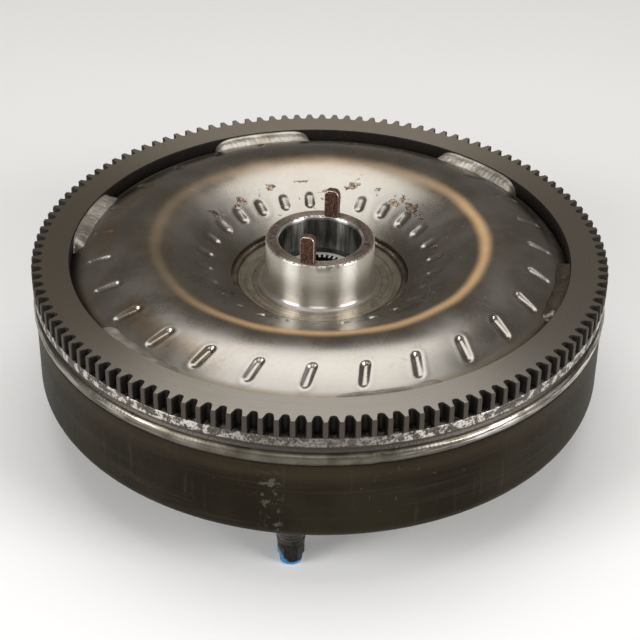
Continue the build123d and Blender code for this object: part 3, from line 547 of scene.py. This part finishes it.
def slot_materials():
    """One detailed finish for each material slot of the record."""
    return {
        "dark_cover_steel": cover_material(),
        "bronze_shell_steel": shell_material(),
        "ground_hub_steel": hub_material(),
        "gear_steel": gear_material(),
        "weld_bead": weld_material("weld_bead", (0.62, 0.60, 0.57), (0.26, 0.24, 0.22)),
        "lug_steel": lug_material(),
        "blue_nylon": blue_nylon(),
        "pressed_steel": dark_steel("pressed_steel", (0.40, 0.40, 0.395), (0.54, 0.53, 0.52), 0.28, 0.45),
        "bearing_steel": dark_steel("bearing_steel", (0.50, 0.50, 0.50), (0.64, 0.64, 0.64), 0.16, 0.30),
        "spring_steel": dark_steel("spring_steel", (0.16, 0.16, 0.17), (0.28, 0.28, 0.30), 0.25, 0.40),
        "cast_aluminium": dark_steel("cast_aluminium", (0.52, 0.52, 0.53), (0.68, 0.68, 0.69),
                                     0.40, 0.60, bump=0.15),
        "friction_paper": friction_paper(),
        "bronze_washer": dark_steel("bronze_washer", (0.50, 0.33, 0.14), (0.66, 0.46, 0.22), 0.25, 0.4),
        "cage_polymer": dark_steel("cage_polymer", (0.04, 0.036, 0.032), (0.085, 0.08, 0.07),
                                   0.4, 0.6, metallic=0.0),
    }


finishes = slot_materials()
closure_finish = closure_material()
seam_finish = weld_material("seam_bead", (0.27, 0.235, 0.185), (0.15, 0.125, 0.095), 0.12)
race_finish = race_material()
for entry in frame["record"]["subparts"]:
    dress(nodes[entry["node"]], finishes[entry["material_slot"]])
dress(nodes["stator_inner_race"], race_finish)

# ------------------------------------------------------------------ impeller shell
crown = spline_curve([
    (50.3, 89.5), (66.2, 99.0), (80.0, 106.4), (94.5, 111.4),
    (116.7, 108.7), (129.7, 103.1), (134.6, 100.6), (137.6, 98.6), (139.2, 96.4),
], 0.6)
rim = corner([
    (139.2, 96.4), (139.6, 95.6), (140.25, 94.9), (160.9, 94.9), (160.9, 89.5),
], 0.5)[1:]
groove = [
    (159.75 - 1.25 * math.sin(t) + 0.25 * (1 - t / math.pi), 89.4 - 4.1 * t / math.pi)
    for t in np.linspace(0.15, math.pi, 9)
]
spigot = [(155.45, 81.0), (155.45, 70.0), (150.9, 70.0), (150.9, 84.0)]
lining = spline_curve([
    (150.9, 84.2), (148.2, 88.6), (138.5, 92.6), (127.9, 99.0), (115.4, 104.3),
    (95.0, 106.9), (81.9, 102.3), (68.2, 95.0), (50.4, 84.5),
], 3.0)
shell_profile = crown + rim + groove + spigot + lining
shell_segments = 1350
radius, height, angle, full = lathe_grid(shell_profile, shell_segments)


def dimple_depth(r, theta, centre_r, first, lean, length, width, depth):
    """How far the surface sinks at each point for one ring of round-ended dimples, one per vane."""
    pitch = 360 / VANES
    local = (np.degrees(theta) - first + pitch / 2) % pitch - pitch / 2
    along = (r - centre_r) * 1.08
    across = np.radians(local) * r + along * lean
    half = (length - width) / 2
    past = np.maximum(np.abs(along) - half, 0)
    distance = np.hypot(past, across) / (width / 2)
    inside = np.clip(distance, 0, 1)
    sink = (0.5 + 0.5 * np.cos(math.pi * inside ** 1.35)) * (1 - 0.25 * np.clip(along / half, -1, 1))
    lip = np.exp(-((distance - 1.3) / 0.4) ** 2) * 0.05
    return depth * (sink - lip)


crown_rows = len(crown)
prof = np.array(shell_profile[:crown_rows])
slope = np.gradient(prof, axis=0)
normal = np.stack([-slope[:, 1], slope[:, 0]], -1)
normal /= np.hypot(*normal.T)[:, None]
r_crown = radius[:crown_rows]
a_crown = angle[:crown_rows]
sink = dimple_depth(r_crown, a_crown, 123.2, 0.4, 0.27, 16.4, 6.5, 1.25)
sink += dimple_depth(r_crown, a_crown, 65.2, 161.7, 0.0, 11.6, 7.0, 0.75)
radius[:crown_rows] -= sink * normal[:, 0][:, None]
height[:crown_rows] -= sink * normal[:, 1][:, None]
shell_skin = lathe_piece("impeller_shell_skin", (radius, height, angle, full), "housing", "impeller_shell")
sharpen(shell_skin, 50)
dress(shell_skin, finishes["bronze_shell_steel"])

# ------------------------------------------------------------------ front cover
corner_arc = [
    (151.3 + 9.2 * math.sin(t), 36.4 - 9.2 * math.cos(t)) for t in np.linspace(0, math.pi / 2, 14)
]
inner_arc = [
    (150.5 + 5.0 * math.sin(t), 37.2 - 5.0 * math.cos(t)) for t in np.linspace(math.pi / 2, 0, 8)
]
dish = corner([
    (24.2, 27.2), (58.0, 27.2), (64.0, 30.2), (104.0, 30.2), (110.0, 27.2), (151.3, 27.2),
], 3.0, 6)
floor_line = corner([
    (150.4, 32.2), (110.6, 32.2), (104.6, 35.2), (62.0, 35.2), (56.0, 32.2), (24.2, 32.2),
], 2.0, 4)
cover_profile = dish + corner_arc[1:] + [(160.5, 76.6), (155.5, 80.9)] + inner_arc + floor_line
cover_skin = lathe_piece("front_cover_skin", lathe_grid(cover_profile, 720), "housing", "front_cover")
cap_levels, cap_radius, cap_sides = (32.2, 27.2), 24.3, 96
cap_verts = []
for z in cap_levels:
    cap_verts += [(cap_radius * math.cos(a) * MM, cap_radius * math.sin(a) * MM, z * MM)
                  for a in np.linspace(0, 2 * math.pi, cap_sides, endpoint=False)]
cap_faces = [list(range(cap_sides)), list(range(cap_sides, 2 * cap_sides))[::-1]]
cap_faces += [[k, cap_sides + k, cap_sides + (k + 1) % cap_sides, (k + 1) % cap_sides]
              for k in range(cap_sides)]
cap = new_piece("front_cover_centre", cap_verts, cap_faces, "housing", None, smooth=False)
clean_up(cap)
sharpen(cover_skin, 40)
for piece in (cover_skin, cap):
    dress(piece, finishes["dark_cover_steel"])

# ------------------------------------------------------------------ closure weld bead
bead_segments, bead_circle, bead_limit, bead_stop = 2160, 160, 162.3, -79.0
bead_middle, bead_bulge = 157.9, 3.75
bead_level, bead_half_height = 80.75, 4.35
across = np.linspace(0, math.pi, 15)
bead_profile = [
    (bead_middle + bead_bulge * math.sin(t), bead_level + bead_half_height * math.cos(t)) for t in across
]
bead_profile += [(155.7, 80.9)]
radius, height, angle, full = lathe_grid(bead_profile, bead_segments)
# fine ripples all round, with a crater and a mound where the weld stopped
for column in range(bead_segments):
    theta = angle[0, column]
    length = theta * bead_circle
    x, y = bead_circle * math.cos(theta), bead_circle * math.sin(theta)
    wander = 0.25 * rough(x, y, 0, 0.035, 3.0)
    swell = 0.16 * rough(x, y, 0, 0.12, 9.0)
    from_stop = abs(wrap(math.degrees(theta) - bead_stop)) * bead_circle * math.pi / 180
    crater = math.exp(-(from_stop / 3.0) ** 2)
    mound = math.exp(-((from_stop - 6.5) / 3.0) ** 2)
    for k, t in enumerate(across):
        side = math.cos(t)
        ripple = math.sin(length / 1.15 * math.pi + 2.4 * side * side)
        body = math.sin(t)
        lift = body * (0.025 * ripple + swell - 0.5 * crater + 0.25 * mound)
        lift += 0.08 * rough(x, y, side * 8, 0.5, 1.0) * body
        radius[k, column] = min(radius[k, column] + lift, bead_limit)
        height[k, column] += wander * body
closure_bead = lathe_piece("closure_bead", (radius, height, angle, full), "housing", "closure_weld")
dress(closure_bead, closure_finish)

# ------------------------------------------------------------------ ring gear beads
bead_count, first_bead, dull_bead = 6, -75.0, 1
half_arc, columns, fan_rows = 12.5, 150, 15
wall_radius, bead_reach, bead_top = 140.2, 8.6, 104.9
crown_r = [p[0] for p in crown]
crown_z = [p[1] for p in crown]
ring_profile = [(wall_radius, 96.4), (wall_radius, bead_top)]
ring_profile += [(wall_radius - bead_reach * s, bead_top) for s in np.linspace(0.05, 1, fan_rows)]
ring_bead_finish = weld_material("ring_bead", (0.50, 0.475, 0.42), (0.33, 0.30, 0.25), 0.10, 0.55)
for index in range(bead_count):
    middle = first_bead + 60.0 * index
    radius, height, angle, full = lathe_grid(ring_profile, columns, middle - half_arc, 2 * half_arc)
    for column in range(columns):
        along = (column / (columns - 1)) * 2 - 1
        taper = max(0.0, 1 - abs(along) ** 8) ** 0.5
        theta = angle[0, column]
        x, y = 140 * math.cos(theta), 140 * math.sin(theta)
        reach = bead_reach * (0.5 + 0.4 * taper) + 0.9 * rough(x, y, 0, 0.11, 5.0 + index)
        for k in range(1, radius.shape[0]):
            s = max(0, k - 1) / fan_rows
            base_r = wall_radius - reach * s
            ground = float(np.interp(base_r, crown_r, crown_z))
            wall = 105.0 - 0.6 * (1 - taper)
            line = wall * (1 - s) + (ground + 0.2) * s + 1.1 * math.sin(math.pi * s) ** 1.2
            ripple = 0.045 * math.sin(theta * 140 / 1.6 * math.pi + 2.0 * s)
            lump = 0.30 * rough(x, y, s * 5, 0.16, index * 2.0) + 0.12 * rough(x, y, s * 8, 0.5, index)
            lift = line - ground + (ripple + lump) * math.sin(math.pi * s)
            radius[k, column] = base_r
            height[k, column] = ground - 0.15 + max(0.0, lift) * taper
    bead = lathe_piece(f"ring_gear_bead_{index + 1}", (radius, height, angle, full), "housing",
                       "ring_gear_welds")
    dress(bead, seam_finish if index == dull_bead else ring_bead_finish)

# ------------------------------------------------------------------ hub, tangs, hub weld
fillet = [(33.7 - 3 * math.sin(t), 87.0 - 3 * math.cos(t)) for t in np.linspace(0, math.pi / 2, 8)]
hub_profile = corner([(33.7, 84.0), (49.6, 86.4), (49.6, 82.0), (44.0, 79.5), (24.2, 79.5),
                      (24.2, 90.0), (23.45, 90.6), (23.45, 111.3), (24.35, 112.2),
                      (30.0, 112.2), (30.7, 111.5), (30.7, 87.2)], 0.35, 3)
hub_profile = hub_profile[:-1] + fillet[::-1][:-1]
hub_skin = lathe_piece("pump_hub_skin", lathe_grid(hub_profile, 480), "housing", "pump_hub")
sharpen(hub_skin, 35)
dress(hub_skin, finishes["ground_hub_steel"])
rusty, worn = tang_materials()
# height and half width of each level; thinner than the CAD's tangs, as the photo reads
tang_levels = ((111.0, 4.1), (126.3, 4.1), (127.6, 3.5), (128.4, 2.7), (128.8, 1.9))
tang_outer, tang_inner, face_points = 28.4, 23.9, 9
for index, tang_angle in enumerate((74.5, 254.5)):
    verts = []
    for z, half in tang_levels:
        outline = []
        for r, order in ((tang_outer, 1), (tang_inner, -1)):
            span = math.asin(half / r)
            outline += [(r, a) for a in (np.linspace(-span, span, face_points) * order)]
        verts += [(r * math.cos(a + math.radians(tang_angle)) * MM,
                   r * math.sin(a + math.radians(tang_angle)) * MM, z * MM) for r, a in outline]
    size = len(outline)
    last = (len(tang_levels) - 1) * size
    faces = [list(range(size))[::-1], list(range(last, last + size))]
    for low in range(0, last, size):
        faces += [[low + k, low + (k + 1) % size, low + size + (k + 1) % size, low + size + k]
                  for k in range(size)]
    tang = new_piece(f"pump_tang_{index + 1}", verts, faces, "housing", None)
    work = bmesh.new()
    work.from_mesh(tang.data)
    bmesh.ops.recalc_face_normals(work, faces=work.faces)
    hard = [e for e in work.edges if e.calc_face_angle() > 0.8]
    result = bmesh.ops.bevel(work, geom=hard, offset=0.45 * MM, segments=3, profile=0.5, affect="EDGES")
    for face in result["faces"]:
        face.material_index = 1
    for face in work.faces:
        face.smooth = True
    work.to_mesh(tang.data)
    work.free()
    sharpen(tang, 50)
    tang.data.materials.append(rusty)
    tang.data.materials.append(worn)

weld_segments, weld_circle, weld_points = 900, 48, 8
weld_foot = [(46.4, 85.97), (49.6, 86.5), (50.25, 86.6), (50.25, 87.9)]
weld_profile = weld_foot + [
    (48.3 + 1.95 * math.cos(t), 86.5 + 1.5 * math.sin(t)) for t in np.linspace(0.75, 2.9, weld_points)
]
radius, height, angle, full = lathe_grid(weld_profile, weld_segments)
for column in range(weld_segments):
    theta = angle[0, column]
    x, y = weld_circle * math.cos(theta), weld_circle * math.sin(theta)
    ripple = 0.03 * math.sin(theta * weld_circle / 1.6 * math.pi)
    lump = 0.45 * rough(x, y, 0, 0.13, 4.0)
    height[len(weld_foot):, column] += (ripple + lump) * np.sin(np.linspace(0.2, math.pi, weld_points))
hub_bead = lathe_piece("hub_flange_bead", (radius, height, angle, full), "housing", "hub_weld")
dress(hub_bead, seam_finish)

# ------------------------------------------------------------------ starter ring gear
teeth, tip_radius, root_radius, gear_bore = 125, 161.3, 155.9, 140.25
gear_low, gear_high, edge_break = 94.9, 105.3, 0.4
pitch_angle = 2 * math.pi / teeth
half_tip = 1.2
mouth = pitch_angle * tip_radius / 2 - half_tip
root_arc, wall_slope = 1.75, 0.30
# depth below the tips and half width of one tooth gap, then its mirror image
gap = [(0.0, mouth), (1.3, mouth - wall_slope * 1.3), (2.6, mouth - wall_slope * 2.6)]
arc_middle = tip_radius - root_radius - root_arc
gap += [
    (arc_middle + root_arc * math.sin(t), root_arc * math.cos(t)) for t in np.linspace(0, math.pi / 2, 7)
]
gap += [(depth, -width) for depth, width in gap[-2::-1]]
gear_outline = []
for tooth in range(teeth):
    gap_angle = (tooth + 0.5) * pitch_angle
    for depth, width in gap[::-1]:
        r = tip_radius - depth
        point_angle = gap_angle + width / r
        gear_outline.append((r * math.cos(point_angle), r * math.sin(point_angle)))
gear_outline = np.array(gear_outline)
ahead = np.roll(gear_outline, -1, axis=0) - np.roll(gear_outline, 1, axis=0)
outside = np.stack([ahead[:, 1], -ahead[:, 0]], -1)
outside /= np.hypot(*outside.T)[:, None]
eased = gear_outline - outside * edge_break
eased_angle = np.arctan2(eased[:, 1], eased[:, 0])
bore_line = np.stack([np.cos(eased_angle), np.sin(eased_angle)], -1)
bore_break = 0.5
bore_edge = bore_line * (gear_bore + bore_break)
bore_wall = bore_line * gear_bore
levels = [
    (bore_edge, gear_low), (eased, gear_low), (gear_outline, gear_low + edge_break),
    (gear_outline, gear_high - edge_break), (eased, gear_high), (bore_edge, gear_high),
    (bore_wall, gear_high - bore_break), (bore_wall, gear_low + bore_break),
]
verts = []
for line, z in levels:
    verts += [(x * MM, y * MM, z * MM) for x, y in line]
size = len(gear_outline)
faces = []
for row in range(len(levels)):
    here, there = row * size, (row + 1) % len(levels) * size
    for k in range(size):
        after = (k + 1) % size
        faces.append([here + k, here + after, there + after, there + k])
gear = new_piece("ring_gear_rim", verts, faces, "housing", "ring_gear")
clean_up(gear)
sharpen(gear, 32)
dress(gear, finishes["gear_steel"])

# ------------------------------------------------------------------ damper springs
spring_count, spring_circle, spring_height, coil_radius, wire_radius = 6, 136.2, 47.6, 4.7, 1.1
coil_pitch, coil_half_length = 5.2, 20.9
steps_per_turn, wire_sides = 28, 10
coil_steps = int(2 * coil_half_length / coil_pitch * steps_per_turn)
for index in range(spring_count):
    around = math.radians(60.0 * index)
    outward = np.array([math.cos(around), math.sin(around), 0.0])
    along = np.array([-math.sin(around), math.cos(around), 0.0])
    upward = np.array([0.0, 0.0, 1.0])
    middle = outward * spring_circle + upward * spring_height
    verts = []
    for step in range(coil_steps + 1):
        turn = 2 * math.pi * step / steps_per_turn
        travel = coil_pitch * step / steps_per_turn - coil_half_length
        away = outward * math.cos(turn) + upward * math.sin(turn)
        sideways = upward * math.cos(turn) - outward * math.sin(turn)
        heading = sideways * 2 * math.pi * coil_radius + along * coil_pitch
        heading /= np.linalg.norm(heading)
        across = np.cross(heading, away)
        centre = middle + along * travel + away * coil_radius
        for side in range(wire_sides):
            turned = 2 * math.pi * side / wire_sides
            point = centre + wire_radius * (away * math.cos(turned) + across * math.sin(turned))
            verts.append(point * MM)
    faces = [list(range(wire_sides)), [coil_steps * wire_sides + k for k in range(wire_sides)][::-1]]
    for step in range(coil_steps):
        for side in range(wire_sides):
            near, far = step * wire_sides, (step + 1) * wire_sides
            after = (side + 1) % wire_sides
            faces.append([near + side, near + after, far + after, far + side])
    spring = new_piece(f"damper_spring_{index + 1}", verts, faces, "damper", "damper_springs")
    clean_up(spring)
    sharpen(spring, 50)
    dress(spring, finishes["spring_steel"])
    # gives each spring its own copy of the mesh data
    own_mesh(spring)

# ------------------------------------------------------------------ lug weld bases
base_segments, base_bottom, point_gap = 160, 14.0, 0.8
outline = corner([
    (6.05, 27.3), (6.05, 14.2), (7.6, base_bottom), (8.0, 18.5), (9.4, 22.5), (12.4, 27.3),
], 1.5, 5)
dense = []
for (ra, za), (rb, zb) in zip(outline, outline[1:]):
    steps = max(1, int(math.hypot(rb - ra, zb - za) / point_gap))
    dense += [(ra + (rb - ra) * k / steps, za + (zb - za) * k / steps) for k in range(steps)]
dense.append(outline[-1])
for index in range(LUG_COUNT):
    centre_angle = math.radians(LUG_ANGLE + 360.0 / LUG_COUNT * index)
    cx, cy = LUG_CIRCLE * math.cos(centre_angle), LUG_CIRCLE * math.sin(centre_angle)
    radius, height, angle, full = lathe_grid(dense, base_segments)
    for column in range(base_segments):
        theta = angle[0, column]
        for k in range(radius.shape[0]):
            if radius[k, column] < 7.0:
                continue
            z = height[k, column]
            lump = 0.35 * rough(10 * math.cos(theta), 10 * math.sin(theta), z, 0.22, index * 7.0)
            ring = 0.12 * math.sin(z * 2.1 + 1.2 * math.sin(theta * 3))
            radius[k, column] += (lump + ring) * min(1.0, (z - base_bottom) / 3)
    piece = lathe_piece(f"lug_base_{index + 1}", (radius, height, angle, full), "housing", None)
    for vertex in piece.data.vertices:
        vertex.co.x += cx * MM
        vertex.co.y += cy * MM
    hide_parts("lug_weld_bases")
    dress(piece, weld_material(f"lug_base_{index + 1}", (0.05, 0.045, 0.038), (0.02, 0.018, 0.014)))

# ------------------------------------------------------------------ stage, lights, camera
stage_mesh = bpy.data.meshes.new("floor")
stage_mesh.from_pydata([(-6, -6, 0), (6, -6, 0), (6, 6, 0), (-6, 6, 0)], [], [(0, 1, 2, 3)])
floor = bpy.data.objects.new("floor", stage_mesh)
bpy.context.scene.collection.objects.link(floor)
floor.location.z = -0.0003
floor_graph = Graph("pale_floor")
floor_tone = floor_graph.noise(0.002, 2.0)
dress(floor, floor_graph.finish(
    floor_graph.mix(floor_tone, (0.90, 0.90, 0.90), (0.93, 0.93, 0.93)), 0.9, 0.0))


def softbox(name, place, aim, size_x, size_y, power, colour=(1, 1, 1)):
    data = bpy.data.lights.new(name, "AREA")
    data.shape = "RECTANGLE"
    data.size = size_x
    data.size_y = size_y
    data.energy = power
    data.color = colour
    lamp = bpy.data.objects.new(name, data)
    bpy.context.scene.collection.objects.link(lamp)
    lamp.location = place
    lamp.rotation_euler = (Vector(aim) - Vector(place)).to_track_quat("-Z", "Y").to_euler()


softbox("overhead", (0.0, 0.25, 1.5), (0, 0, 0.1), 1.3, 1.0, 10)
softbox("left_strip", (-1.3, -0.75, 0.7), (0, 0, 0.08), 0.8, 0.9, 16)
softbox("right_strip", (1.3, -0.75, 0.65), (0, 0, 0.08), 0.8, 0.9, 17)
softbox("front_fill", (-0.1, -1.7, 1.0), (0, 0, 0.05), 1.0, 0.5, 6)

world = bpy.data.worlds.new("studio")
world.use_nodes = True
bpy.context.scene.world = world
tree = world.node_tree
background = tree.nodes["Background"]
path = tree.nodes.new("ShaderNodeLightPath")
mix = tree.nodes.new("ShaderNodeMix")
mix.data_type = "RGBA"
tree.links.new(path.outputs["Is Camera Ray"], mix.inputs[0])
mix.inputs[6].default_value = (0.155, 0.145, 0.125, 1)
mix.inputs[7].default_value = (1, 1, 1, 1)
tree.links.new(mix.outputs[2], background.inputs["Color"])
background.inputs["Strength"].default_value = 1.0

# the camera fitted to the photo's coaxial circles; its place is in ring gear radii from the
# middle of the ring gear's upper face
scene = bpy.context.scene
scene.view_settings.view_transform = "Standard"
photo_width, sensor_width = 640, 36.0
focal, pitch, yaw, roll = 1790.31, math.radians(34.239), math.radians(0.7568), math.radians(0.8771)
gear_radius = 0.1613
gear_top = Vector((0, 0, 0.1053))
camera_place = Vector((-0.0666, -5.3099, 3.3105)) * gear_radius + gear_top
forward = Vector((math.sin(yaw) * math.cos(pitch), math.cos(yaw) * math.cos(pitch), -math.sin(pitch)))
right = Vector((math.cos(yaw), -math.sin(yaw), 0))
upward = right.cross(forward)
axis_x = math.cos(roll) * right + math.sin(roll) * upward
axis_y = math.cos(roll) * upward - math.sin(roll) * right
camera_data = bpy.data.cameras.new("photo_camera")
camera_data.sensor_width = sensor_width
camera_data.lens = focal / photo_width * sensor_width
camera = bpy.data.objects.new("photo_camera", camera_data)
scene.collection.objects.link(camera)
turn = Matrix((axis_x, axis_y, -forward)).transposed()
camera.matrix_world = Matrix.Translation(camera_place) @ turn.to_4x4()
scene.camera = camera
